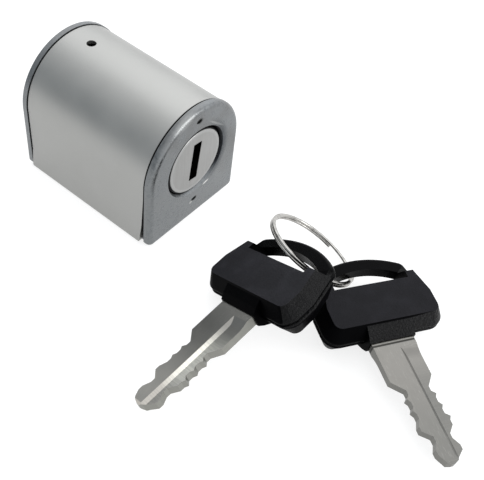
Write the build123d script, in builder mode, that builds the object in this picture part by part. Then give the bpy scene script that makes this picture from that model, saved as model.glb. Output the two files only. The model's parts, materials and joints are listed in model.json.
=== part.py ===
"""A motorcycle's push-type steering lock with its two keys, in millimetres.

The lock stands on its mounting face: +Z is up, the key goes in along +Y, and the origin is the
middle of the mounting face. The keys lie in front of the lock on the same level as that face.
"""

import os
from math import atan2, cos, degrees, radians, sin

from build123d import *

# Outside of the lock
plate_width = 26.0      # across the straight sides of the D-shaped end plates
axis_height = 15.4      # lock axis above the mounting face, also the centre of the arch
lock_depth = 35.2       # front face to rear face
front_plate_t = 1.6
rear_plate_t = 1.3
plate_corner_r = 1.3    # the two lower corners of each end plate
front_edge_r = 1.1      # rounding of the front plate's rim
rear_edge_r = 0.3

# Sheet cover, wrapped over the casting between the end plates
cover_t = 0.8
plate_stand = 0.2       # how far the end plates stand proud of the cover
cover_play = 0.05       # between the sheet and the casting
cover_edge_gap = 0.25   # between the sheet's edges and the plates
cover_foot = 0.4        # height of the free lower edges
cover_flare = 0.45      # how far the lower edges spring outward
cover_flare_height = 5.0
cover_taper_height = 17.7   # below this the front edge leans away from the front plate
cover_taper = 0.75
cover_corner_r = 1.0

# Key, shared by blades, keyway and wafers. The cuts are listed from the bow towards the tip
key_width = 8.8
key_thickness = 2.0
key_shank = 7.9         # bow to the plug's face, with the key home
key_tip = 2.5           # middle of the last cut to the tip
key_slide = 0.15        # keyway wall to key
left_cuts = [2.2, 2.0, 2.0, 1.3, 3.0, 2.2]
right_cuts = [1.7, 1.4, 1.3, 0.9, 2.2, 1.4]
cut_flat = 0.9          # length of the flat at the bottom of each cut
ridge_rise = 0.45       # height of the peak left between two cuts of nearly one depth
ridge_limit = 0.5       # cuts that differ by more than this run into each other
shoulder_slope = 2.1    # length of the ramp behind the first cut
tip_width = 1.6
tip_bevel = 0.5
wafer_first = 2.9       # plug face to the middle of the first wafer
wafer_pitch = 2.3
ward_depth = 0.5        # step milled into each face of the blade, on opposite sides
ward_edge = 0.8         # middle of the blade to the top of the step
ward_slope = 0.75
ward_runout = 1.8       # plain length next to the bow
ward_ramp = 2.6         # where the cutter rises out of the blade
ward_start = 2.0        # the keyway's ribs begin this far behind the plug's face

# Bow, moulded round the blade's tang
bow_t = 7.0
bow_front = 0.7         # middle of the front edge, at half thickness
bow_half = 12.9
bow_far_half = 11.1
bow_far = 14.1
bow_inset = 1.9         # how much smaller the flat faces are than the outline at half thickness
bow_corner_r = 3.4
bow_far_corner_r = 0.9
bow_edge_r = 0.5
rim_t = 2.3
rim_reach = 18.3        # outermost point of the loop
rim_width = 2.7
rim_shoulder = 15.6
rim_half = 10.0
rim_corner_r = 1.6
rim_edge_r = 0.75
window_near = 10.8
window_half = 7.9
window_shoulder = 13.6
collar_front = -0.3
collar_lip = 0.8        # crest of the collar's wedge, just behind its front face
collar_half = 4.8
collar_t = 2.6
collar_lip_t = 4.4
tang_length = 8.5
tang_width = 6.0

# Where the keys lie: the middle of the bow's front edge at its underside, then heading, nose and roll
key_poses = {
    "key_1": ((-16.10, -45.17, 4.18), (-5.12, -12.43, -27.66)),
    "key_2": ((-1.45, -66.54, 0.97), (58.87, -3.44, 5.15)),
}

# Split ring through both bows
ring_r = 9.55           # middle of the wire
ring_centre = (5.07, -44.04, 6.21)
ring_heading = -22.2    # the way the ring's axis leans
ring_tilt = 35.2        # from upright
ring_wire_w = 0.8
ring_wire_t = 0.52
ring_gap = 0.05        # between the two turns
ring_turns = 1.9

# Plug, which turns, with its wafers and their springs
keyway_lean = 6.0       # the slot's top leans to the right at rest
face_recess = 0.25
plug_head_r = 7.5
plug_body_r = 8.2
plug_play = 0.1         # plug in its bore, along and across
plug_end_wall = 2.1     # left behind the key's tip
face_chamfer = 0.4
tail_r = 2.5
tail_length = 2.6
tail_groove_depth = 0.7
tail_groove_width = 1.06
tail_groove_start = 1.05
wafer_t = 1.0
wafer_width = 7.0
wafer_inset = 0.05      # wafer ends below the plug's surface when the right key is in
wafer_play = 0.05
wafer_window_width = 2.6
wafer_lift_travel = 1.2     # inward, as the key's peaks pass
tab_width = 1.8
tab_height = 1.2
tab_base = 0.6          # underside of the wafer's tab above the lock axis
wafer_spring_length = 5.0
wafer_spring_r = 0.7
wafer_spring_wire = 0.3
wafer_spring_turns = 5
spring_hole_play = 0.1

# Casting's bore
lip_t = 1.6             # the lip that holds the plug in, with the countersink round it
lip_play = 0.1
lip_chamfer = 0.5       # countersink, outward from the hole's edge
lip_chamfer_depth = 1.0
stake_reach = 10.4      # lock axis to the two stake marks beside the countersink
stake_width = 1.5
stake_height = 0.8
stake_depth = 0.25
groove_play = 0.4       # each side of a wafer
groove_depth = 1.9      # takes a wafer sprung out by 1.0 with room to spare
groove_end_play = 1.0

# Bolt, its guide and the return spring
push_travel = 6.0
bolt_play = 0.1         # bolt in its guide, across
bolt_head_r = 6.1
bolt_head_t = 3.0
bolt_rod_r = 4.0
bolt_nose_chamfer = 0.8
tail_pin_r = 0.5
tail_pin_length = 10.6
pin_play = 0.02
guide_play = 0.05
guide_floor_t = 2.5
return_wire = 0.9
return_coil_r = 5.1
return_turns = 5

# Guide pin in the hole on top of the arch
pin_hole_r = 1.0
pin_hole_depth = 28.2   # behind the front face
guide_pin_length = 3.5
guide_pin_end = 0.15    # left between the pin's inner end and the spring's space

# Tapped holes in the mounting face
base_hole_r = 2.1
base_hole_spacing = 16.0
base_hole_depth = 8.0

# Lengths that follow from the wafers' places
wafer_count = len(left_cuts)
key_reach = wafer_first + (wafer_count - 1) * wafer_pitch + key_tip
key_length = key_shank + key_reach
plug_length = key_reach + plug_end_wall

# Places along the lock axis
front_y = -lock_depth / 2
rear_y = lock_depth / 2
face_y = front_y + face_recess
shoulder_y = front_y + lip_t + plug_play
plug_end_y = face_y + plug_length
bolt_y = plug_end_y + plug_play
spring_y = bolt_y + bolt_head_t
guide_y = plug_end_y + push_travel + plug_play
guide_floor_y = rear_y - guide_floor_t
pin_y = front_y + pin_hole_depth

# Radii that follow from the fits
bore_r = plug_body_r + plug_play
cover_outer_r = plate_width / 2 - plate_stand
cover_inner_r = cover_outer_r - cover_t
core_r = cover_inner_r - cover_play
guide_r = bore_r - guide_play
guide_bore_r = bolt_head_r + bolt_play
lock_axis = Axis((0, 0, axis_height), (0, 1, 0))

# The wafers feel the key's left and right edges in turn
wafer_cuts = [(left_cuts, right_cuts)[i % 2][i] for i in range(wafer_count)]


def upright(y):
    """The plane across the lock at y, seen from the front, with its origin on the mounting face."""
    return Plane.XZ.offset(-y)


def across(y, turned=False):
    """The plane across the lock axis at y, leaning with the keyway, or half a turn round from it."""
    way = -1 if turned else 1
    lean = radians(keyway_lean)
    return Plane(
        origin=(0, y, axis_height), x_dir=(way * cos(lean), 0, -way * sin(lean)), z_dir=(0, -1, 0)
    )


def along():
    """The plane through the lock axis, with local x along it and local y up."""
    return Plane(origin=(0, 0, axis_height), x_dir=(0, 1, 0), z_dir=(1, 0, 0))


def wafer_y(i):
    return face_y + wafer_first + i * wafer_pitch


def spring_hole(i):
    """The floor of the hole under a wafer's tab, facing the tab."""
    middle = across(wafer_y(i), i % 2)
    tab_x = wafer_width / 2 + tab_width / 2
    floor = middle.from_local_coords((tab_x, tab_base - wafer_spring_length, 0))
    return Plane(origin=floor, z_dir=middle.y_dir)


def arch(y, half_width, corner_r=0):
    """The D outline across the lock at y: straight sides on a flat base under a half circle."""
    with BuildSketch(upright(y)) as outline:
        with BuildLine():
            Polyline(
                (-half_width, axis_height), (-half_width, 0), (half_width, 0), (half_width, axis_height)
            )
            RadiusArc((half_width, axis_height), (-half_width, axis_height), -half_width)
        make_face()
        if corner_r:
            fillet(outline.vertices().group_by(Axis.Y)[0], corner_r)
    return outline.sketch


def lying(pose):
    """The plane of a key's underside: x from tip to bow, z out of the upper face."""
    origin, (heading, nose, roll) = pose
    forward = Vector(1, 0, 0).rotate(Axis.Y, nose).rotate(Axis.Z, heading)
    upward = Vector(0, 0, 1).rotate(Axis.X, roll).rotate(Axis.Y, nose).rotate(Axis.Z, heading)
    return Plane(origin=origin, x_dir=forward, z_dir=upward)


def cut_edge(cuts):
    """One long edge of the blade, from the bow to the tip, as (x, half width) points."""
    full = key_width / 2
    first = key_length - key_reach + wafer_first
    points = [(collar_front, full), (-first + cut_flat / 2 + shoulder_slope, full)]
    for i, depth in enumerate(cuts):
        x = -(first + i * wafer_pitch)
        points += [(x + cut_flat / 2, full - depth), (x - cut_flat / 2, full - depth)]
        if i + 1 < len(cuts) and abs(cuts[i + 1] - depth) < ridge_limit:
            points.append((x - wafer_pitch / 2, full - min(depth, cuts[i + 1]) + ridge_rise))
    return points + [(-key_length + cut_flat, tip_width), (-key_length, tip_width / 2)]


def ward(base, side):
    """What the cutter takes off one face of the blade: a step with a sloped edge and a curved start."""
    middle = base.offset(bow_t / 2)
    face = side * key_thickness / 2
    bottom = side * (key_thickness / 2 - ward_depth)
    with BuildPart() as cut:
        with BuildSketch(Plane(origin=middle.origin, x_dir=middle.y_dir, z_dir=-middle.x_dir)):
            with BuildLine():
                Polyline(
                    (-side * ward_edge, -face),
                    (-side * (ward_edge + ward_slope), -bottom),
                    (-side * key_width, -bottom),
                    (-side * key_width, -face),
                    close=True,
                )
            make_face()
        extrude(amount=key_length)
        with BuildSketch(Plane(origin=middle.origin, x_dir=middle.x_dir, z_dir=-middle.y_dir)):
            with BuildLine():
                low = (-ward_runout - ward_ramp, bottom)
                high = (-ward_runout, face)
                TangentArc(low, high, tangent=(1, 0))
                Polyline(high, (-key_length, face), (-key_length, bottom), low)
            make_face()
        extrude(amount=key_width, both=True, mode=Mode.INTERSECT)
    return cut.part


def key_blade(base):
    """Steel blade lying at half the bow's thickness, with its tang inside the bow."""
    low = base.offset(bow_t / 2 - key_thickness / 2)
    left = cut_edge(left_cuts)
    right = [(x, -y) for x, y in cut_edge(right_cuts)]
    with BuildPart() as blade:
        with BuildSketch(low):
            with BuildLine():
                Polyline(*left, *reversed(right), close=True)
            make_face()
            with Locations((collar_front, 0)):
                Rectangle(tang_length, tang_width, align=(Align.MIN, Align.CENTER))
        extrude(amount=key_thickness)
        chamfer(blade.faces().sort_by(base.location.x_axis)[0].edges(), tip_bevel)
        add(ward(base, 1), mode=Mode.SUBTRACT)
        add(ward(base, -1), mode=Mode.SUBTRACT)
    return blade


def grip_outline(base):
    """The bow's grip at half thickness."""
    with BuildSketch(base.offset(bow_t / 2)) as outline:
        with BuildLine():
            Polyline(
                (bow_front, bow_half),
                (bow_front + 2 * bow_corner_r, bow_half),
                (bow_far, bow_far_half),
                (bow_far, -bow_far_half),
                (bow_front + 2 * bow_corner_r, -bow_half),
                (bow_front, -bow_half),
                close=True,
            )
        make_face()
        corners = outline.vertices().sort_by(Axis.X)
        fillet(corners[:2], bow_corner_r)
        fillet(corners[-2:], bow_far_corner_r)
    return outline.sketch


def thin_loop(base):
    """The thin plate beyond the grip that becomes the loop, with its edges rounded."""
    with BuildPart() as loop:
        with BuildSketch(base.offset((bow_t - rim_t) / 2)):
            with BuildLine():
                Polyline(
                    (rim_shoulder, -rim_half),
                    (window_near, -bow_far_half),
                    (window_near, bow_far_half),
                    (rim_shoulder, rim_half),
                )
                ThreePointArc((rim_shoulder, rim_half), (rim_reach, 0), (rim_shoulder, -rim_half))
            make_face()
        extrude(amount=rim_t)
        upright_edges = loop.edges().filter_by(Axis(base.origin, base.z_dir))
        fillet(upright_edges.sort_by(Axis(base.origin, base.x_dir))[-2:], rim_corner_r)
        ends = loop.faces().sort_by(Axis(base.origin, base.z_dir))
        fillet(ends[0].edges() + ends[-1].edges(), rim_edge_r)
    return loop.part


def collar(base):
    """The wedge on each face of the bow that runs down to the blade."""
    ridge = bow_front + bow_inset + bow_edge_r
    side = Plane(origin=base.offset(bow_t / 2).origin, x_dir=base.x_dir, z_dir=base.y_dir)
    with BuildPart() as wedge:
        with BuildSketch(side):
            with BuildLine():
                Polyline(
                    (ridge, bow_t / 2),
                    (collar_lip, collar_lip_t / 2),
                    (collar_front, collar_t / 2),
                    (collar_front, -collar_t / 2),
                    (collar_lip, -collar_lip_t / 2),
                    (ridge, -bow_t / 2),
                    close=True,
                )
            make_face()
        extrude(amount=collar_half, both=True)
    return wedge.part


def key_bow(base):
    """Moulded bow: a thick grip with tapered sides, a thin loop beyond it and a wedge towards the blade."""
    taper = degrees(atan2(bow_inset, bow_t / 2))
    grip = grip_outline(base)
    loop = thin_loop(base)
    with BuildPart() as bow:
        extrude(grip, amount=bow_t / 2, taper=taper)
        top = bow.faces().sort_by(Axis(base.origin, base.z_dir))[-1]
        fillet(top.edges(), bow_edge_r)
        mirror(about=base.offset(bow_t / 2))
        add(loop)
        with BuildSketch(base):
            with BuildLine():
                Polyline(
                    (window_shoulder, -window_half),
                    (window_near, -window_half),
                    (window_near, window_half),
                    (window_shoulder, window_half),
                )
                ThreePointArc(
                    (window_shoulder, window_half),
                    (rim_reach - rim_width, 0),
                    (window_shoulder, -window_half),
                )
            make_face()
        extrude(amount=bow_t, mode=Mode.SUBTRACT)
        add(collar(base))
        with BuildSketch(base.offset((bow_t - key_thickness) / 2)):
            with Locations((collar_front, 0)):
                Rectangle(tang_length, tang_width, align=(Align.MIN, Align.CENTER))
        extrude(amount=key_thickness, mode=Mode.SUBTRACT)
    return bow


def coil(plane, mean_r, wire, turns, length):
    """A compression spring from the plane to length above it."""
    wire_r = wire / 2
    rise = length - wire
    with BuildPart() as spring:
        with BuildLine() as path:
            start = plane.offset(wire_r).origin
            Helix(pitch=rise / turns, height=rise, radius=mean_r, center=start, direction=plane.z_dir)
        with BuildSketch(Plane(origin=path.wire() @ 0, z_dir=path.wire() % 0)):
            Circle(wire_r)
        sweep(path=path.wire(), is_frenet=True)
    return spring


parts = {}


def keep(name, builder):
    builder.part.label = name
    parts[name] = builder.part


# Zinc casting: two end plates, the barrel between them and the stepped bore
with BuildPart() as housing:
    extrude(arch(front_y, plate_width / 2, plate_corner_r), amount=-front_plate_t)
    fillet(housing.faces().sort_by(Axis.Y)[0].edges(), front_edge_r)
    extrude(arch(rear_y, plate_width / 2, plate_corner_r), amount=rear_plate_t)
    fillet(housing.faces().sort_by(Axis.Y)[-1].edges(), rear_edge_r)
    barrel_length = lock_depth - front_plate_t - rear_plate_t
    extrude(arch(front_y + front_plate_t, core_r), amount=-barrel_length)

    with BuildSketch(across(front_y)):
        Circle(plug_head_r + lip_play)
    extrude(amount=-lip_t, mode=Mode.SUBTRACT)
    with BuildSketch(across(front_y + lip_t)):
        Circle(bore_r)
    extrude(amount=-lock_depth, mode=Mode.SUBTRACT)
    front = housing.faces().sort_by(Axis.Y)[0]
    chamfer(front.inner_wires().edges(), lip_chamfer, lip_chamfer_depth, reference=front)
    with BuildSketch(upright(front_y)):
        with Locations((0, axis_height + stake_reach), (0, axis_height - stake_reach)):
            Ellipse(stake_width / 2, stake_height / 2)
    extrude(amount=-stake_depth, mode=Mode.SUBTRACT)

    groove_y = wafer_y(0) - wafer_t / 2 - groove_end_play
    groove_length = wafer_y(wafer_count - 1) + wafer_t / 2 + push_travel + groove_end_play - groove_y
    with BuildSketch(across(groove_y)):
        Rectangle(wafer_width + 2 * groove_play, 2 * (bore_r + groove_depth))
    extrude(amount=-groove_length, mode=Mode.SUBTRACT)

    with BuildSketch(Plane.XY.offset(axis_height)):
        with Locations((0, pin_y)):
            Circle(pin_hole_r)
    extrude(amount=plate_width, mode=Mode.SUBTRACT)

    with Locations(Plane(origin=(0, 0, 0), z_dir=(0, 0, -1))):
        with GridLocations(base_hole_spacing, base_hole_spacing, 2, 1):
            Hole(radius=base_hole_r, depth=base_hole_depth)
keep("housing", housing)

# Satin sheet sprung over the arch, with its lower edges standing out a little
with BuildPart() as cover:
    with BuildSketch(upright(rear_y - rear_plate_t - cover_edge_gap)):
        with BuildLine():
            foot = cover_inner_r + cover_flare
            bend = cover_flare_height
            Polyline((-foot, cover_foot), (-cover_inner_r, bend), (-cover_inner_r, axis_height))
            RadiusArc((-cover_inner_r, axis_height), (cover_inner_r, axis_height), cover_inner_r)
            Polyline((cover_inner_r, axis_height), (cover_inner_r, bend), (foot, cover_foot))
            offset(amount=cover_t, side=Side.LEFT)
        make_face()
    cover_length = lock_depth - front_plate_t - rear_plate_t - 2 * cover_edge_gap
    extrude(amount=cover_length)
    with BuildSketch(Plane.YZ):
        near_y = front_y + front_plate_t + cover_edge_gap
        far_y = near_y + cover_length
        roof = axis_height + plate_width
        with BuildLine():
            Polyline(
                (near_y, roof),
                (near_y, cover_taper_height),
                (near_y + cover_taper, cover_foot - cover_t / 2),
                (far_y, cover_foot - cover_t / 2),
                (far_y, roof),
                close=True,
            )
        side = make_face()
        fillet(side.vertices().group_by(Axis.Y)[0], cover_corner_r)
    extrude(amount=plate_width, both=True, mode=Mode.INTERSECT)
    with BuildSketch(Plane.XY.offset(axis_height)):
        with Locations((0, pin_y)):
            Circle(pin_hole_r)
    extrude(amount=plate_width, mode=Mode.SUBTRACT)
keep("cover", cover)

# Plug: head, body and grooved tail turned in one piece, then slotted for key, wafers and springs
with BuildPart() as plug:
    with BuildSketch(along()):
        groove_a = plug_end_y + tail_groove_start
        groove_b = groove_a + tail_groove_width
        with BuildLine():
            Polyline(
                (face_y, 0),
                (face_y, plug_head_r - face_chamfer),
                (face_y + face_chamfer, plug_head_r),
                (shoulder_y, plug_head_r),
                (shoulder_y, plug_body_r),
                (plug_end_y, plug_body_r),
                (plug_end_y, tail_r),
                (groove_a, tail_r),
                (groove_a, tail_r - tail_groove_depth),
                (groove_b, tail_r - tail_groove_depth),
                (groove_b, tail_r),
                (plug_end_y + tail_length, tail_r),
                (plug_end_y + tail_length, 0),
                close=True,
            )
        make_face()
    revolve(axis=lock_axis)
    with BuildSketch(across(face_y)):
        Rectangle(key_thickness + 2 * key_slide, key_width + 2 * key_slide)
    extrude(amount=-(key_reach + key_slide), mode=Mode.SUBTRACT)
    for turned in (False, True):
        rib = key_width / 2 - ward_edge - ward_slope
        with BuildSketch(across(face_y + ward_start, turned)):
            with Locations((key_thickness / 2 - ward_depth + key_slide, -key_width / 2 - key_slide)):
                Rectangle(ward_depth, rib, align=(Align.MIN, Align.MIN))
        extrude(amount=-(key_reach + key_slide - ward_start))
    for i in range(wafer_count):
        slot_t = wafer_t + 2 * wafer_play
        low = tab_base - wafer_lift_travel - 2 * wafer_play
        with BuildSketch(across(wafer_y(i) - slot_t / 2, i % 2)):
            Rectangle(wafer_width + 2 * wafer_play, 3 * plug_body_r)
            with Locations((wafer_width / 2, low)):
                Rectangle(tab_width + 2 * wafer_play, plug_body_r, align=(Align.MIN, Align.MIN))
        extrude(amount=-slot_t, mode=Mode.SUBTRACT)
        with BuildSketch(spring_hole(i)):
            Circle(wafer_spring_r + wafer_spring_wire / 2 + spring_hole_play)
        extrude(amount=2 * plug_body_r, mode=Mode.SUBTRACT)
keep("plug", plug)

# Wafers, each with a window that rests on the key's cut and a tab over its spring
for i, depth in enumerate(wafer_cuts):
    window_low = -(key_width / 2 - depth)
    highest_peak = key_width / 2 - min(wafer_cuts) + ridge_rise
    window_high = highest_peak + wafer_lift_travel + 2 * wafer_play
    with BuildPart() as wafer:
        with BuildSketch(across(wafer_y(i) - wafer_t / 2, i % 2)):
            Circle(plug_body_r - wafer_inset)
            Rectangle(wafer_width, 2 * plug_body_r, mode=Mode.INTERSECT)
            with Locations((wafer_width / 2, tab_base)):
                Rectangle(tab_width, tab_height, align=(Align.MIN, Align.MIN))
            with Locations((0, window_low)):
                Rectangle(
                    wafer_window_width,
                    window_high - window_low,
                    align=(Align.CENTER, Align.MIN),
                    mode=Mode.SUBTRACT,
                )
        extrude(amount=-wafer_t)
    keep(f"wafer_{i + 1}", wafer)

    wafer_spring = coil(
        spring_hole(i), wafer_spring_r, wafer_spring_wire, wafer_spring_turns, wafer_spring_length
    )
    keep(f"wafer_spring_{i + 1}", wafer_spring)

# Bolt: a head that carries the plug's tail, and the rod that leaves the rear of the lock
with BuildPart() as bolt:
    with BuildSketch(along()):
        socket_y = bolt_y + tail_length
        with BuildLine():
            Polyline(
                (bolt_y, tail_r + guide_play),
                (bolt_y, bolt_head_r),
                (bolt_y + bolt_head_t, bolt_head_r),
                (bolt_y + bolt_head_t, bolt_rod_r),
                (rear_y - bolt_nose_chamfer, bolt_rod_r),
                (rear_y, bolt_rod_r - bolt_nose_chamfer),
                (rear_y, 0),
                (socket_y, 0),
                (socket_y, tail_r + guide_play),
                close=True,
            )
        make_face()
    revolve(axis=lock_axis)
    tail_pin_y = plug_end_y + tail_groove_start + tail_groove_width / 2
    tail_pin_z = tail_r - tail_groove_depth + tail_pin_r + pin_play
    with BuildSketch(Plane.YZ):
        with Locations((tail_pin_y, axis_height + tail_pin_z)):
            Circle(tail_pin_r + pin_play)
    extrude(amount=bolt_head_r, both=True, mode=Mode.SUBTRACT)
keep("bolt", bolt)

with BuildPart() as tail_pin:
    with BuildSketch(Plane.YZ):
        with Locations((tail_pin_y, axis_height + tail_pin_z)):
            Circle(tail_pin_r)
    extrude(amount=tail_pin_length / 2, both=True)
keep("tail_pin", tail_pin)

# Guide cup: closes the bore at the rear, carries the return spring and guides the bolt
with BuildPart() as bolt_guide:
    with BuildSketch(along()):
        with BuildLine():
            Polyline(
                (guide_y, guide_bore_r),
                (guide_y, guide_r),
                (rear_y, guide_r),
                (rear_y, bolt_rod_r + bolt_play),
                (guide_floor_y, bolt_rod_r + bolt_play),
                (guide_floor_y, guide_bore_r),
                close=True,
            )
        make_face()
    revolve(axis=lock_axis)
    with BuildSketch(Plane.XY.offset(axis_height)):
        with Locations((0, pin_y)):
            Circle(pin_hole_r)
    extrude(amount=plate_width, mode=Mode.SUBTRACT)
keep("bolt_guide", bolt_guide)

with BuildPart() as guide_pin:
    with BuildSketch(Plane.XY.offset(axis_height + guide_bore_r + guide_pin_end)):
        with Locations((0, pin_y)):
            Circle(pin_hole_r - pin_play)
    extrude(amount=guide_pin_length)
keep("guide_pin", guide_pin)

return_spring = coil(
    Plane(origin=(0, spring_y, axis_height), z_dir=(0, 1, 0)),
    return_coil_r,
    return_wire,
    return_turns,
    guide_floor_y - spring_y,
)
keep("return_spring", return_spring)

# Two keys, lying as they were put down, and the ring through their bows
for name, pose in key_poses.items():
    keep(f"{name}_blade", key_blade(lying(pose)))
    keep(f"{name}_bow", key_bow(lying(pose)))

with BuildPart() as split_ring:
    tilt = radians(ring_tilt)
    heading = radians(ring_heading)
    ring_axis = Vector(sin(tilt) * cos(heading), sin(tilt) * sin(heading), cos(tilt))
    ring_rise = ring_turns * (ring_wire_t + ring_gap)
    ring_foot = Vector(*ring_centre) - ring_axis * (ring_rise / 2)
    with BuildLine() as ring_path:
        Helix(
            pitch=ring_wire_t + ring_gap,
            height=ring_rise,
            radius=ring_r,
            center=ring_foot,
            direction=ring_axis,
        )
    start = ring_path.wire() @ 0
    with BuildSketch(Plane(origin=start, x_dir=start - ring_foot, z_dir=ring_path.wire() % 0)):
        RectangleRounded(ring_wire_w, ring_wire_t, ring_wire_t / 3)
    sweep(path=ring_path.wire(), is_frenet=True)
keep("split_ring", split_ring)

os.makedirs("parts", exist_ok=True)
for name, piece in parts.items():
    export_step(piece, f"parts/{name}.step")
    print(f"{name}: {len(piece.solids())} solid, {piece.volume:.1f} cubic mm")
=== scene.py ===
# %% [markdown]
# # A push-type steering lock with its two keys
#
# This lesson dresses a finished CAD model of a motorcycle's steering lock. The real lock is a zinc
# casting with two D-shaped end plates. A satin sheet is sprung over it, a turning plug sits in its
# front, and two keys on a split ring lie before it. The shapes come from the CAD frame, so the work
# here is a camera, a pale studio and one convincing finish for each material.

# %% Load the frame and measure it
import json
import math

import bpy
from mathutils import Euler, Matrix, Vector


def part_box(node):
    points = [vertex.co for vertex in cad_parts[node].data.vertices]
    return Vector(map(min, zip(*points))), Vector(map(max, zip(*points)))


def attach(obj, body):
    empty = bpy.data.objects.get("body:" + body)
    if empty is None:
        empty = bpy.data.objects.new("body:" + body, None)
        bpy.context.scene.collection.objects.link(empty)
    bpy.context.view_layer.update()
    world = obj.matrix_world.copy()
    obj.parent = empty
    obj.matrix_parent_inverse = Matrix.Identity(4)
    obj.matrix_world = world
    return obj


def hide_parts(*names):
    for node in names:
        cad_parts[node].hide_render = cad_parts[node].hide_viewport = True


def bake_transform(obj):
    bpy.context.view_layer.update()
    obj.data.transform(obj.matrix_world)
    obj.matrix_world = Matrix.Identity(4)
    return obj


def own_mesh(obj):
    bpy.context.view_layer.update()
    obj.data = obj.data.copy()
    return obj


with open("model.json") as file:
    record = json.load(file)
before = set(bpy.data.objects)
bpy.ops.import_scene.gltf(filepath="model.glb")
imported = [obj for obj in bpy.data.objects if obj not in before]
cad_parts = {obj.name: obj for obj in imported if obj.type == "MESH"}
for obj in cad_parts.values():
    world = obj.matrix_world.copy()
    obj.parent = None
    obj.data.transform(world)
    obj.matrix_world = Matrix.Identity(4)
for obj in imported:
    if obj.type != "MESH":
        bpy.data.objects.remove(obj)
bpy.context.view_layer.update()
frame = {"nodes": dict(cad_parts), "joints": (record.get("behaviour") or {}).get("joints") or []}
nodes = frame["nodes"]

# %% [markdown]
# ## Camera
#
# The photograph looks down on the lock from its front left. Fitting straight edges of the lock by hand
# takes many tries, so the camera is given as a place and three directions: the picture's right, the
# picture's up, and the way back towards the lens. A matrix takes the three as its columns.

# %% Camera
picture_right = Vector((0.62998, -0.77060, 0.09643))
picture_up = Vector((0.54790, 0.52901, 0.64804))
towards_lens = Vector((-0.55039, -0.35542, 0.75548))
camera_place = Vector((-0.09418, -0.09160, 0.13191))

camera = bpy.data.objects.new("camera", bpy.data.cameras.new("camera"))
bpy.context.scene.collection.objects.link(camera)
camera.matrix_world = Matrix.Translation(camera_place) @ Matrix(
    (picture_right, picture_up, towards_lens)
).transposed().to_4x4()
camera.data.sensor_width = 36
camera.data.lens = 63.33
camera.data.clip_start = 0.01
bpy.context.scene.camera = camera
bpy.context.scene.view_settings.view_transform = "Standard"
print("lens", round(camera.data.lens, 2), "mm, from", [round(part, 3) for part in camera_place])

# %% [markdown]
# ## Smooth faces
#
# The CAD surfaces arrive as small flat triangles. Shading them smooth hides the triangles on the arch,
# the plug and the ring, and marking edges sharper than an angle keeps the plate's rim and the cuts in
# the blades crisp. Only the shading changes, so every point stays where the CAD put it.

# %% Smooth faces
crisp_angle = math.radians(28)
for node in nodes.values():
    for face in node.data.polygons:
        face.use_smooth = True
    node.data.set_sharp_from_angle(angle=crisp_angle)
print("smoothed", len(nodes), "pieces")

# %% [markdown]
# ## Writing finishes in short lines
#
# Each finish is a small tree of nodes round one Principled shader. Building it with the mouse would be
# quicker to try, but code can be read and repeated. The first helpers start a finish, add a node with
# its settings, and hand a finish to the pieces that wear it.


# %% Helpers that start a finish and hand it out
def start_finish(name, metallic, roughness, specular=0.5):
    material = bpy.data.materials.new(name)
    material.use_nodes = True
    shader = material.node_tree.nodes["Principled BSDF"]
    shader.inputs["Metallic"].default_value = metallic
    shader.inputs["Roughness"].default_value = roughness
    shader.inputs["Specular IOR Level"].default_value = specular
    return material, shader


def add_node(material, kind, inputs=None, **settings):
    node = material.node_tree.nodes.new(kind)
    for key, value in settings.items():
        setattr(node, key, value)
    for key, value in (inputs or {}).items():
        if isinstance(value, bpy.types.NodeSocket):
            material.node_tree.links.new(value, node.inputs[key])
        else:
            node.inputs[key].default_value = value
    return node


def dress(material, *names):
    for name in names:
        nodes[name].data.materials.clear()
        nodes[name].data.materials.append(material)
    print(material.name, "on", ", ".join(names))


# %% [markdown]
# ## Places and masks
#
# Dirt, wear and machining marks belong to a place on the piece, so most masks start from the object's
# own coordinates, which stay with a piece as it moves. A mask is a number from 0 to 1. The first
# helpers give the coordinates and their three parts, a step along a value, and a noise cut off at two
# levels.


# %% Helpers that make masks
def object_place(material, stretch=(1, 1, 1)):
    where = add_node(material, "ShaderNodeTexCoord").outputs["Object"]
    return add_node(material, "ShaderNodeMapping", {"Vector": where, "Scale": stretch}).outputs[0]


def step(material, value, low, high):
    return add_node(
        material,
        "ShaderNodeMapRange",
        {"Value": value, "From Min": low, "From Max": high},
        interpolation_type="SMOOTHSTEP",
    ).outputs["Result"]


def blotches(material, where, per_metre, low, high, detail=3.0):
    noise = add_node(
        material, "ShaderNodeTexNoise", {"Vector": where, "Scale": per_metre, "Detail": detail}
    )
    return step(material, noise.outputs["Fac"], low, high)


def parts_of(material, vector):
    return add_node(material, "ShaderNodeSeparateXYZ", {"Vector": vector}).outputs


# %% [markdown]
# ## Mixing and raising
#
# Four more helpers turn masks into looks: they blend two colours, hand a colour on, make a surface
# rougher, and raise or sink it as light sees it. Real dents are in the CAD, so bumps here are only
# skin: grain, scratches, fine machining lines.


# %% Helpers that mix, roughen and raise
def mix_colours(material, factor, first, second):
    mix = add_node(material, "ShaderNodeMix", data_type="RGBA")
    for socket, value in zip((mix.inputs[0], mix.inputs[6], mix.inputs[7]), (factor, first, second)):
        if isinstance(value, bpy.types.NodeSocket):
            material.node_tree.links.new(value, socket)
        elif isinstance(value, tuple):
            socket.default_value = (*value, 1)
        else:
            socket.default_value = value
    return mix.outputs[2]


def colour_with(material, shader, colour):
    material.node_tree.links.new(colour, shader.inputs["Base Color"])


def roughen(material, shader, mask, smooth, rough):
    spread = add_node(material, "ShaderNodeMapRange", {"Value": mask, "To Min": smooth, "To Max": rough})
    material.node_tree.links.new(spread.outputs["Result"], shader.inputs["Roughness"])


def raise_surface(material, shader, height, depth):
    bump = add_node(material, "ShaderNodeBump", {"Height": height, "Distance": depth})
    material.node_tree.links.new(bump.outputs["Normal"], shader.inputs["Normal"])


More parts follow.
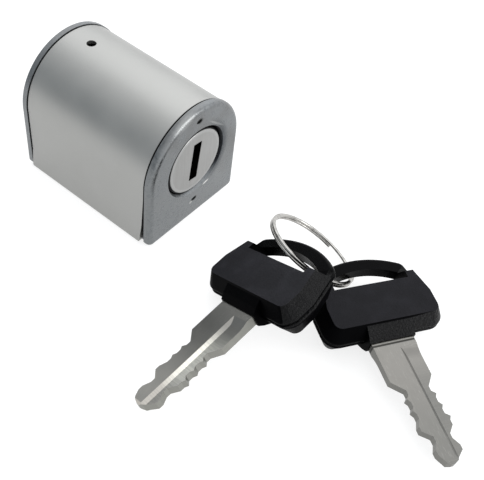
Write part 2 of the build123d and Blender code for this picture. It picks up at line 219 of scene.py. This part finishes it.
# %% [markdown]
# ## Satin sheet
#
# The cover is a bright sheet with a fine satin finish. It has hardly any mark of its own: what the eye
# reads on it is the studio, as soft bands that run along the arch. A metal with medium roughness gives
# those bands. Very faint clouds in tone and a fine speckle in height keep it from looking like plastic.
# The sheet's edge beside the front plate is painted near black, as shade that widens the dark gap
# between sheet and plate.

# %% Satin sheet
sheet_front = -0.0156
satin, shader = start_finish("satin_sheet", 1.0, 0.4)
sheet_place = object_place(satin)
clouds = blotches(satin, sheet_place, 120, 0.3, 0.7)
sheet_tone = mix_colours(satin, clouds, (0.342, 0.343, 0.333), (0.362, 0.363, 0.353))
# Painted shade: the sheet's front edge is made near black.
sheet_edge_shade = step(satin, parts_of(satin, sheet_place)["Y"], sheet_front + 0.0001, sheet_front - 0.00002)
colour_with(satin, shader, mix_colours(satin, sheet_edge_shade, sheet_tone, (0.008, 0.008, 0.008)))
roughen(satin, shader, clouds, 0.4, 0.45)
grain = blotches(satin, sheet_place, 9000, 0.35, 0.65)
raise_surface(satin, shader, grain, 0.000003)
dress(satin, "cover")

# %% [markdown]
# ## Masks that follow the lock's form
#
# Masks are joined with plain sums: multiplying two keeps only where both hold, and the larger of two
# keeps where either holds. The lock is built round one axis and its marks are small and few, so two
# more masks come from the distance to that axis and from a small ellipse set on a surface.

# %% Helpers for sums and for the lock's form
axis_height = 0.0154


def work_out(material, operation, first, second=0.0):
    return add_node(material, "ShaderNodeMath", {0: first, 1: second}, operation=operation).outputs[0]


def times(material, first, second):
    return work_out(material, "MULTIPLY", first, second)


def from_axis(material, where):
    across = add_node(
        material,
        "ShaderNodeMapping",
        {"Vector": where, "Location": (0, 0, -axis_height), "Scale": (1, 0, 1)},
    ).outputs[0]
    return add_node(material, "ShaderNodeVectorMath", {0: across}, operation="LENGTH").outputs["Value"]


def ellipse(material, where, middle, lean, half_sizes):
    near = add_node(
        material,
        "ShaderNodeMapping",
        {"Vector": where, "Location": middle, "Rotation": (0, lean, 0), "Scale": half_sizes},
        vector_type="TEXTURE",
    ).outputs[0]
    reach = add_node(material, "ShaderNodeVectorMath", {0: near}, operation="LENGTH").outputs["Value"]
    return step(material, reach, 1.0, 0.5)


print("lock axis", round(1000 * axis_height, 1), "mm over the mounting face")

# %% [markdown]
# ## Zinc casting
#
# The end plates are bare die-cast zinc: grey with a blue cast, finely speckled, and rubbed where things
# have slid over the front. Skin of such castings differs in tone and gloss from grain to grain, well
# under a millimetre across, so one noise drives both and a finer one raises the skin.

# %% Casting skin
grains_per_metre = 1500
zinc, shader = start_finish("zinc_casting", 0.9, 0.45)
zinc_place = object_place(zinc)
speckle = blotches(zinc, zinc_place, grains_per_metre, 0.36, 0.66, detail=6.0)
broad = blotches(zinc, zinc_place, 220, 0.3, 0.7)
skin_tone = mix_colours(zinc, speckle, (0.155, 0.165, 0.172), (0.195, 0.205, 0.21))
skin_tone = mix_colours(zinc, times(zinc, broad, 0.25), skin_tone, (0.22, 0.222, 0.22))
skin = blotches(zinc, zinc_place, 2600, 0.25, 0.75, detail=5.0)
raise_surface(zinc, shader, skin, 0.000009)
print("grains of", round(1000 / grains_per_metre, 2), "mm")

# %% [markdown]
# Marks on the casting are fenced off by its form: how far along the lock a point lies, how far from the
# axis, how high, and whether it is on the upper right, which is more stained than the rest and takes
# more painted shade.

# %% Where a point of the casting lies
front_face = -0.0176
plate_back = -0.016
rear_plate_front = 0.0163
sideways = parts_of(zinc, zinc_place)["X"]
lengthwise = parts_of(zinc, zinc_place)["Y"]
height = parts_of(zinc, zinc_place)["Z"]
radius = from_axis(zinc, zinc_place)
behind_plate = step(zinc, lengthwise, plate_back + 0.00001, plate_back + 0.00006)
rear_plate = step(zinc, lengthwise, rear_plate_front - 0.00005, rear_plate_front)
between_plates = work_out(zinc, "SUBTRACT", behind_plate, rear_plate)
rightward = work_out(zinc, "ADD", sideways, height)
upper_right = step(zinc, rightward, axis_height - 0.002, axis_height + 0.004)
print("front plate from", round(1000 * front_face, 1), "to", round(1000 * plate_back, 1), "mm")

# %% [markdown]
# Painted shade darkens the narrow slot between plate and sheet and the countersink round the plug, where
# it is deepest and blackest at the upper right. A band of painted shade also lies just outside the
# countersink over the right half of the face, and the two stake marks are painted dark.

# %% Painted shade, and the dark stake marks
painted_shade_reach = 0.0078
# Painted shade: the core between the plates, seen only through the slot beside the sheet, is made near
# black.
core_gap_shade = times(zinc, between_plates, step(zinc, height, 0.0002, 0.0006))
shallow_part = step(zinc, lengthwise, front_face + 0.00002, front_face + 0.00015)
deep_part = step(zinc, lengthwise, front_face + 0.0003, front_face + 0.0006)
sunk = work_out(zinc, "MAXIMUM", times(zinc, upper_right, shallow_part), deep_part)
painted_shade_edge = work_out(zinc, "SUBTRACT", radius, times(zinc, upper_right, 0.0004))
# Painted shade in the countersink: near black on its deep wall, and at the upper right also close under
# the face.
countersink_shade = times(zinc, step(zinc, painted_shade_edge, painted_shade_reach, painted_shade_reach - 0.0001), sunk)
# Painted shade: a dark band just outside the countersink on its right side.
shade_beside_countersink = times(zinc, step(zinc, radius, 0.0101, 0.0081), step(zinc, sideways, 0.0025, 0.0075))
# The two stake marks are painted dark.
upper_stake = ellipse(zinc, zinc_place, (0.0003, front_face, 0.0258), 0.2, (0.001, 0.0009, 0.00085))
lower_stake = ellipse(zinc, zinc_place, (0.0003, front_face, 0.005), -0.4, (0.0008, 0.0009, 0.0006))
stake_marks_dark = work_out(zinc, "MAXIMUM", upper_stake, lower_stake)
print("painted shade reaches", round(1000 * painted_shade_reach, 1), "mm from the axis")

# %% [markdown]
# Other places are worn bright: a nick and a chip below the plug and a faint streak above it. The rounded
# rim at the top left gets a painted highlight, a lighter and rougher patch. The upper right is stained a
# little darker in patches, and the rear plate, which was never rubbed, keeps one even grey. Each layer
# lies over the one before it, so the blackest painted shade comes last.

# %% Worn, stained and painted-highlight places, and all layers in order
nick = ellipse(zinc, zinc_place, (0.00355, front_face, 0.00734), -0.25, (0.0011, 0.0004, 0.00028))
chip = ellipse(zinc, zinc_place, (-0.0008, front_face, 0.0045), -0.5, (0.0006, 0.0004, 0.0004))
streak = ellipse(zinc, zinc_place, (0.0054, front_face, 0.0221), 0.7, (0.0036, 0.0004, 0.0003))
# Painted highlight: a lighter patch on the rounded rim at the top left.
painted_rim_highlight = ellipse(zinc, zinc_place, (-0.0038, -0.0172, 0.0272), -0.31, (0.0036, 0.0012, 0.0011))
stain = times(zinc, upper_right, broad)
layers = (
    (stain, 0.6, (0.12, 0.12, 0.12)),
    (shade_beside_countersink, 1.0, (0.05, 0.056, 0.062)),
    (streak, 0.25, (0.5, 0.51, 0.5)),
    (painted_rim_highlight, 0.22, (0.5, 0.51, 0.5)),
    (chip, 0.6, (0.5, 0.5, 0.48)),
    (nick, 0.85, (0.75, 0.75, 0.73)),
    (stake_marks_dark, 0.9, (0.02, 0.022, 0.02)),
    (countersink_shade, 1.0, (0.012, 0.013, 0.015)),
    (core_gap_shade, 1.0, (0.006, 0.006, 0.007)),
)
tone = mix_colours(zinc, rear_plate, skin_tone, (0.19, 0.199, 0.205))
for mask, share, colour in layers:
    tone = mix_colours(zinc, times(zinc, mask, share), tone, colour)
colour_with(zinc, shader, tone)
roughen(zinc, shader, work_out(zinc, "MAXIMUM", speckle, painted_rim_highlight), 0.27, 0.42)
print(len(layers), "layers over the skin")
dress(zinc, "housing")

# %% [markdown]
# ## Plug
#
# The plug's face is faced on a lathe and then rubbed by keys, so it is paler than the casting, with
# fine upright lines beside the slot. Noise that is stretched upwards draws those lines.

# %% Tone of the plug's face
lines_per_metre = 2600
plug_metal, shader = start_finish("plug_metal", 0.9, 0.36)
plug_place = object_place(plug_metal)
drawn_lines = blotches(plug_metal, object_place(plug_metal, (1, 1, 0.06)), lines_per_metre, 0.35, 0.65)
tarnish = blotches(plug_metal, plug_place, 420, 0.3, 0.75, detail=5.0)
face_tone = mix_colours(plug_metal, tarnish, (0.265, 0.264, 0.258), (0.3, 0.299, 0.295))
face_tone = mix_colours(plug_metal, times(plug_metal, drawn_lines, 0.3), face_tone, (0.35, 0.35, 0.346))
roughen(plug_metal, shader, tarnish, 0.32, 0.42)
raise_surface(plug_metal, shader, drawn_lines, 0.000004)
print("lines", round(1000 / lines_per_metre, 2), "mm apart")

# %% [markdown]
# A slightly brighter ring lies near the face's edge. Inside the keyway and on the chamfer the colour is
# near black: painted shade, which a step along the depth and a step along the radius put in.

# %% Bright ring, and painted shade in the slot and on the chamfer
plug_face = -0.01735
depth = parts_of(plug_metal, plug_place)["Y"]
plug_radius = from_axis(plug_metal, plug_place)
on_face = step(plug_metal, depth, plug_face + 0.00025, plug_face + 0.00015)
bright_ring = times(plug_metal, step(plug_metal, plug_radius, 0.0064, 0.0066), on_face)
face_tone = mix_colours(plug_metal, times(plug_metal, bright_ring, 0.5), face_tone, (0.37, 0.375, 0.37))
below_face = step(plug_metal, depth, plug_face + 0.00001, plug_face + 0.00013)
in_slot = times(plug_metal, below_face, step(plug_metal, plug_radius, 0.0065, 0.0063))
chamfer = step(plug_metal, plug_radius, 0.00712, 0.00722)
# Painted shade: the keyway below the face and the chamfer are made near black.
dark = work_out(plug_metal, "MAXIMUM", in_slot, chamfer)
colour_with(plug_metal, shader, mix_colours(plug_metal, dark, face_tone, (0.006, 0.006, 0.006)))
dress(plug_metal, "plug")

# %% [markdown]
# ## A key's own coordinates
#
# The keys lie tilted, but their grain and milled marks follow their own length. A mapping node of the
# texture kind undoes a placement. Given a key's origin in metres and its heading, nose and roll in
# degrees, it yields coordinates that run along the key, across it, and out of its upper face.

# %% Where each key lies
key_lies = {
    "key_1": ((-0.01610, -0.04517, 0.00418), (-5.12, -12.43, -27.66)),
    "key_2": ((-0.00145, -0.06654, 0.00097), (58.87, -3.44, 5.15)),
}
half_bow = 0.0035


def key_turns(key):
    heading, nose, roll = key_lies[key][1]
    return math.radians(roll), math.radians(nose), math.radians(heading)


def key_upward(key):
    return Euler(key_turns(key), "XYZ").to_matrix() @ Vector((0, 0, 1))


def key_place(material, key, scale=(1, 1, 1)):
    where = add_node(material, "ShaderNodeTexCoord").outputs["Object"]
    return add_node(
        material,
        "ShaderNodeMapping",
        {"Vector": where, "Location": key_lies[key][0], "Rotation": key_turns(key), "Scale": scale},
        vector_type="TEXTURE",
    ).outputs[0]


for key in key_lies:
    print(key, "leans", round(math.degrees(math.acos(key_upward(key).z)), 1), "degrees")

# %% [markdown]
# ## Moulded black plastic
#
# The bows are one dark nylon in four textures. The two flat faces have a fine spark-eroded grain that
# greys them a little, the walls are smoother and get a near-black, barely glossy copy as painted shade,
# the thin rim is a little glossier, and the slanted side wall on the right has a coarser grain. The
# first key's flats are a shade paler than the second's.


# %% Four textures of one plastic
def moulded(name, base, roughness, specular, grain_size, grain_depth):
    material, shader = start_finish(name, 0.0, roughness, specular)
    place = object_place(material)
    grain = blotches(material, place, grain_size, 0.3, 0.7, detail=4.0)
    worn = blotches(material, place, 260, 0.4, 0.75)
    paler = tuple(1.5 * part for part in base)
    colour_with(material, shader, mix_colours(material, worn, base, paler))
    roughen(material, shader, grain, roughness - 0.05, roughness + 0.08)
    raise_surface(material, shader, grain, grain_depth)
    return material


flat_black = {
    "key_1": moulded("bow_flat_1", (0.0125, 0.0125, 0.015), 0.5, 0.1, 4200, 0.00002),
    "key_2": moulded("bow_flat_2", (0.0062, 0.0062, 0.0078), 0.5, 0.075, 4200, 0.00002),
}
# Painted shade: the walls get a near-black, barely glossy copy of the plastic.
wall_shade_black = moulded("bow_wall_shaded", (0.0008, 0.0008, 0.001), 0.35, 0.015, 3000, 0.000006)
band_black = moulded("bow_band", (0.003, 0.003, 0.0032), 0.38, 0.1, 2200, 0.00014)
rim_black = moulded("bow_rim", (0.0008, 0.0008, 0.001), 0.24, 0.03, 3000, 0.000006)
print("made", len(flat_black) + 3, "blacks")

# %% [markdown]
# A mask in the shader would need a sharp edge in just the right place, so here each triangle gets its
# texture by its direction and its place in the key's own coordinates. On the second key the collar and
# the faces that turn upwards take the band texture instead of the walls' painted shade.

# %% Which texture each triangle of a bow wears
FLAT, WALL, BAND, RIM = range(4)
grip_flat = 0.0032
rim_start = 0.0143
collar_side = -0.0046


def bow_texture(key, direction, middle):
    second_key = key == "key_2"
    on_collar = second_key and middle.y < collar_side
    if abs(direction.z) > 0.93 and abs(middle.z - half_bow) > grip_flat:
        return FLAT
    if middle.x > rim_start:
        return RIM
    if direction.z > 0.1 and (direction.y < -0.35 or on_collar):
        return BAND
    if second_key and direction.z > 0.6:
        return BAND
    # Faces left over take the wall texture, which is painted shade.
    return WALL


for key, (origin, _) in key_lies.items():
    bow = nodes[key + "_bow"].data
    bow.materials.clear()
    for finish in (flat_black[key], wall_shade_black, band_black, rim_black):
        bow.materials.append(finish)
    to_key = Euler(key_turns(key), "XYZ").to_matrix().transposed()
    for face in bow.polygons:
        middle = to_key @ (face.center - Vector(origin))
        face.material_index = bow_texture(key, to_key @ face.normal, middle)
    counts = [sum(face.material_index == finish for face in bow.polygons) for finish in range(4)]
    print(key, "bow faces by texture:", counts)

# %% [markdown]
# ## Nickel blades
#
# A blade is blanked from plated sheet and then milled. Its two flat faces keep the darker plating,
# with a fine haze of pocket scratches along the length, while every milled surface shows brighter,
# warmer metal. Height in the key's own coordinates separates them: only plating lies in the two faces.
# What faces sideways is the cut edge.


# %% Places and marks on a blade
def blade_places(material, key):
    along, _, above = parts_of(material, key_place(material, key))
    over_middle = work_out(material, "SUBTRACT", above, half_bow)
    milled = step(material, work_out(material, "ABSOLUTE", over_middle), 0.00099, 0.00094)
    facing = add_node(material, "ShaderNodeTexCoord").outputs["Normal"]
    tilt = add_node(
        material, "ShaderNodeVectorMath", {0: facing, 1: key_upward(key)}, operation="DOT_PRODUCT"
    ).outputs["Value"]
    edge = step(material, work_out(material, "ABSOLUTE", tilt), 0.45, 0.25)
    return along, milled, edge


def blade_marks(material, key):
    scratches = blotches(material, key_place(material, key, (9, 1, 1)), 7000, 0.55, 0.75)
    cutter_marks = blotches(material, key_place(material, key, (1, 20, 20)), 3600, 0.4, 0.6, detail=1.0)
    return scratches, cutter_marks


# %% [markdown]
# Tones also change along a blade: the plating differs between bow and tip, and the milled step starts
# dull, shows its own metal in the middle and dulls again at the tip. The first key is newly cut, so its
# step is bright. The second has dulled all over, and a dark line is painted across its root.


# %% Nickel blades
def blade_finish(key, plating, tip_plating, milling, edging, root_line):
    material, shader = start_finish(key + "_blade_nickel", 1.0, 0.33)
    along, milled, edge = blade_places(material, key)
    scratches, cutter_marks = blade_marks(material, key)

    plated = mix_colours(material, step(material, along, -0.006, -0.022), plating, tip_plating)
    plated = mix_colours(material, times(material, scratches, 0.15), plated, (0.5, 0.49, 0.46))

    fresh = mix_colours(material, step(material, along, -0.004, -0.012), plating, milling)
    fresh = mix_colours(material, step(material, along, -0.015, -0.021), fresh, tip_plating)
    bare = mix_colours(material, times(material, cutter_marks, 0.2), fresh, plating)
    bare = mix_colours(material, edge, bare, edging)

    off_root = work_out(material, "ABSOLUTE", work_out(material, "ADD", along, 0.0009))
    root = times(material, step(material, off_root, 0.00026, 0.00014), root_line)
    tone = mix_colours(material, milled, plated, bare)
    colour_with(material, shader, mix_colours(material, root, tone, (0.02, 0.02, 0.018)))

    wear = blotches(material, key_place(material, key), 500, 0.2, 0.8)
    roughen(material, shader, wear, 0.28, 0.38)
    raise_surface(material, shader, mix_colours(material, milled, scratches, cutter_marks), 0.000004)
    dress(material, key + "_blade")


blade_finish(
    "key_1",
    plating=(0.23, 0.225, 0.21),
    tip_plating=(0.43, 0.41, 0.375),
    milling=(0.82, 0.8, 0.72),
    edging=(0.24, 0.24, 0.22),
    root_line=0.0,
)
blade_finish(
    "key_2",
    plating=(0.185, 0.18, 0.168),
    tip_plating=(0.162, 0.16, 0.15),
    milling=(0.15, 0.149, 0.14),
    edging=(0.18, 0.178, 0.167),
    root_line=0.9,
)

# %% [markdown]
# ## Split ring
#
# The ring is bright plated spring wire, two turns side by side. Its shine comes from low roughness, and
# the dark line between its turns is real: the CAD leaves a gap there. Rubbing keys dull it in patches.

# %% Split ring
bright, shader = start_finish("bright_wire", 1.0, 0.16)
rubbed = blotches(bright, object_place(bright), 900, 0.4, 0.7)
colour_with(bright, shader, mix_colours(bright, rubbed, (0.44, 0.43, 0.41), (0.28, 0.272, 0.26)))
roughen(bright, shader, rubbed, 0.16, 0.28)
dress(bright, "split_ring")

# %% [markdown]
# ## Parts inside
#
# Behind the plug work a bolt, its guide cup and two pins. They show only through openings and in other
# poses, but a turned part keeps its finish: fine tool marks that run round it, under a film of oil
# that dulls it in patches. Noise squeezed across the axis gives the marks.

# %% Turned steel
turned, shader = start_finish("turned_steel", 1.0, 0.28)
tool_marks = blotches(turned, object_place(turned, (0.03, 1, 0.03)), 6000, 0.35, 0.65)
oiled = blotches(turned, object_place(turned), 300, 0.35, 0.7)
colour_with(turned, shader, mix_colours(turned, oiled, (0.5, 0.5, 0.51), (0.38, 0.37, 0.36)))
roughen(turned, shader, oiled, 0.24, 0.38)
raise_surface(turned, shader, tool_marks, 0.000006)
dress(turned, "bolt", "tail_pin", "guide_pin", "bolt_guide")

# %% [markdown]
# ## Spring wire
#
# One return spring pushes the bolt back and six tiny ones push the wafers. Hard-drawn wire is grey and
# half bright, with streaks from the die. A mottled tone and gloss is enough at a wire this thin.

# %% Drawn spring wire
drawn, shader = start_finish("spring_wire", 1.0, 0.3)
wire_streaks = blotches(drawn, object_place(drawn), 2400, 0.35, 0.65)
colour_with(drawn, shader, mix_colours(drawn, wire_streaks, (0.36, 0.36, 0.37), (0.46, 0.46, 0.47)))
roughen(drawn, shader, wire_streaks, 0.26, 0.38)
springs = [name for name in nodes if "spring" in name]
dress(drawn, *springs)

# %% [markdown]
# ## Copies of the springs
#
# A rigid coil would run through the piece that presses on it, so each spring is shown by a copy of its
# CAD coil, and the CAD coil is hidden. A wafer spring stands between plug and wafer, and the return
# spring loses more than half its length. The wafer springs' copies get their placement baked into the
# mesh, and the return spring's copy is fixed to the case's body with a mesh of its own.


# %% Copies of the springs
def coil_copy(name):
    coil = bpy.data.objects.new(name + "_coil", nodes[name].data.copy())
    bpy.context.scene.collection.objects.link(coil)
    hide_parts(name)
    return coil


for joint in frame["joints"]:
    if joint["name"].startswith("wafer_slide"):
        number = joint["name"][-1]
        low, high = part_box("wafer_spring_" + number)
        middle = (low + high) / 2
        coil = coil_copy("wafer_spring_" + number)
        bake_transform(coil)

low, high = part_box("return_spring")
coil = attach(coil_copy("return_spring"), "case")
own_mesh(coil)

# %% [markdown]
# ## Wafer brass
#
# The six wafers are stamped from brass strip: matt where the strip was rolled, brighter and yellower
# where keys and springs have rubbed. The same noise drives both, in opposite ways.

# %% Stamped brass
brass, shader = start_finish("stamped_brass", 1.0, 0.3)
rubbed_brass = blotches(brass, object_place(brass), 800, 0.35, 0.7)
colour_with(brass, shader, mix_colours(brass, rubbed_brass, (0.55, 0.38, 0.16), (0.72, 0.54, 0.26)))
roughen(brass, shader, rubbed_brass, 0.42, 0.26)
wafers = [name for name in nodes if name.startswith("wafer") and name not in springs]
dress(brass, *wafers)

# %% [markdown]
# ## Pale floor
#
# The object lies on white paper. Lighting paper up to white would also flood the object, so the paper
# glows a little instead, but only for rays from the camera and for those that a metal or a glass
# sends on. Its own grey takes the object's shadow and sends little light back up.

# %% Pale floor
floor_reach = 3.0
floor_height = -0.0001
sides_and_ends = ((-1, -1), (1, -1), (1, 1), (-1, 1))
corners = [(side * floor_reach, end * floor_reach, floor_height) for side, end in sides_and_ends]
floor_mesh = bpy.data.meshes.new("floor")
floor_mesh.from_pydata(corners, [], [(0, 1, 2, 3)])
floor = bpy.data.objects.new("floor", floor_mesh)
bpy.context.scene.collection.objects.link(floor)
paper, shader = start_finish("floor_paper", 0.0, 0.9, 0.0)
shader.inputs["Base Color"].default_value = (0.3, 0.3, 0.3, 1)
shader.inputs["Emission Color"].default_value = (1, 1, 1, 1)
rays = add_node(paper, "ShaderNodeLightPath").outputs
seen = work_out(paper, "MAXIMUM", rays["Is Camera Ray"], rays["Is Glossy Ray"])
seen = work_out(paper, "MAXIMUM", seen, rays["Is Transmission Ray"])
paper.node_tree.links.new(times(paper, seen, 0.78), shader.inputs["Emission Strength"])
floor_mesh.materials.append(paper)
print("floor", 2 * floor_reach, "m across")

# %% [markdown]
# ## Soft studio
#
# Satin metal shows whatever surrounds it, so the surroundings are drawn with care: one wide, soft
# source high on the right, falling off to a dim, cool horizon on the left and behind. A world shader
# can do that with no lamp at all, from how far a direction leans towards the source.

# %% World
towards_source = (0.5, -0.55, 0.67)
studio_strength = 1.45
world = bpy.data.worlds.new("studio")
bpy.context.scene.world = world
world.use_nodes = True
background = world.node_tree.nodes["Background"]
direction = add_node(world, "ShaderNodeTexCoord").outputs["Generated"]
lean = add_node(
    world, "ShaderNodeVectorMath", {0: direction, 1: towards_source}, operation="DOT_PRODUCT"
).outputs["Value"]
ramp = add_node(world, "ShaderNodeValToRGB", {"Fac": step(world, lean, -0.45, 0.6)})
ramp.color_ramp.elements[0].color = (0.3, 0.325, 0.345, 1)
ramp.color_ramp.elements[1].color = (0.975, 0.985, 1, 1)
world.node_tree.links.new(ramp.outputs["Color"], background.inputs["Color"])
background.inputs["Strength"].default_value = studio_strength
print("studio strength", studio_strength, "from", towards_source)

# %% [markdown]
# ## Two lamps
#
# The world alone leaves the arch's right side dull and gives no crisp lights. A broad panel on the
# right evens out the top of the sheet, and a small one in front catches the front plate's rounded rim.


# %% Lamps
def light_panel(name, way, distance, size, power):
    lamp = bpy.data.lights.new(name, "AREA")
    lamp.shape = "DISK"
    lamp.size = size
    lamp.energy = power
    holder = bpy.data.objects.new(name, lamp)
    bpy.context.scene.collection.objects.link(holder)
    holder.location = Vector(way).normalized() * distance
    holder.rotation_euler = (-holder.location).to_track_quat("-Z", "Y").to_euler()
    print(name, "at", [round(part, 2) for part in holder.location])


light_panel("right_panel", (0.6, 0.3, 0.72), distance=0.5, size=0.7, power=0.8)
light_panel("front_panel", (0.257, -0.865, 0.429), distance=0.45, size=0.24, power=0.8)
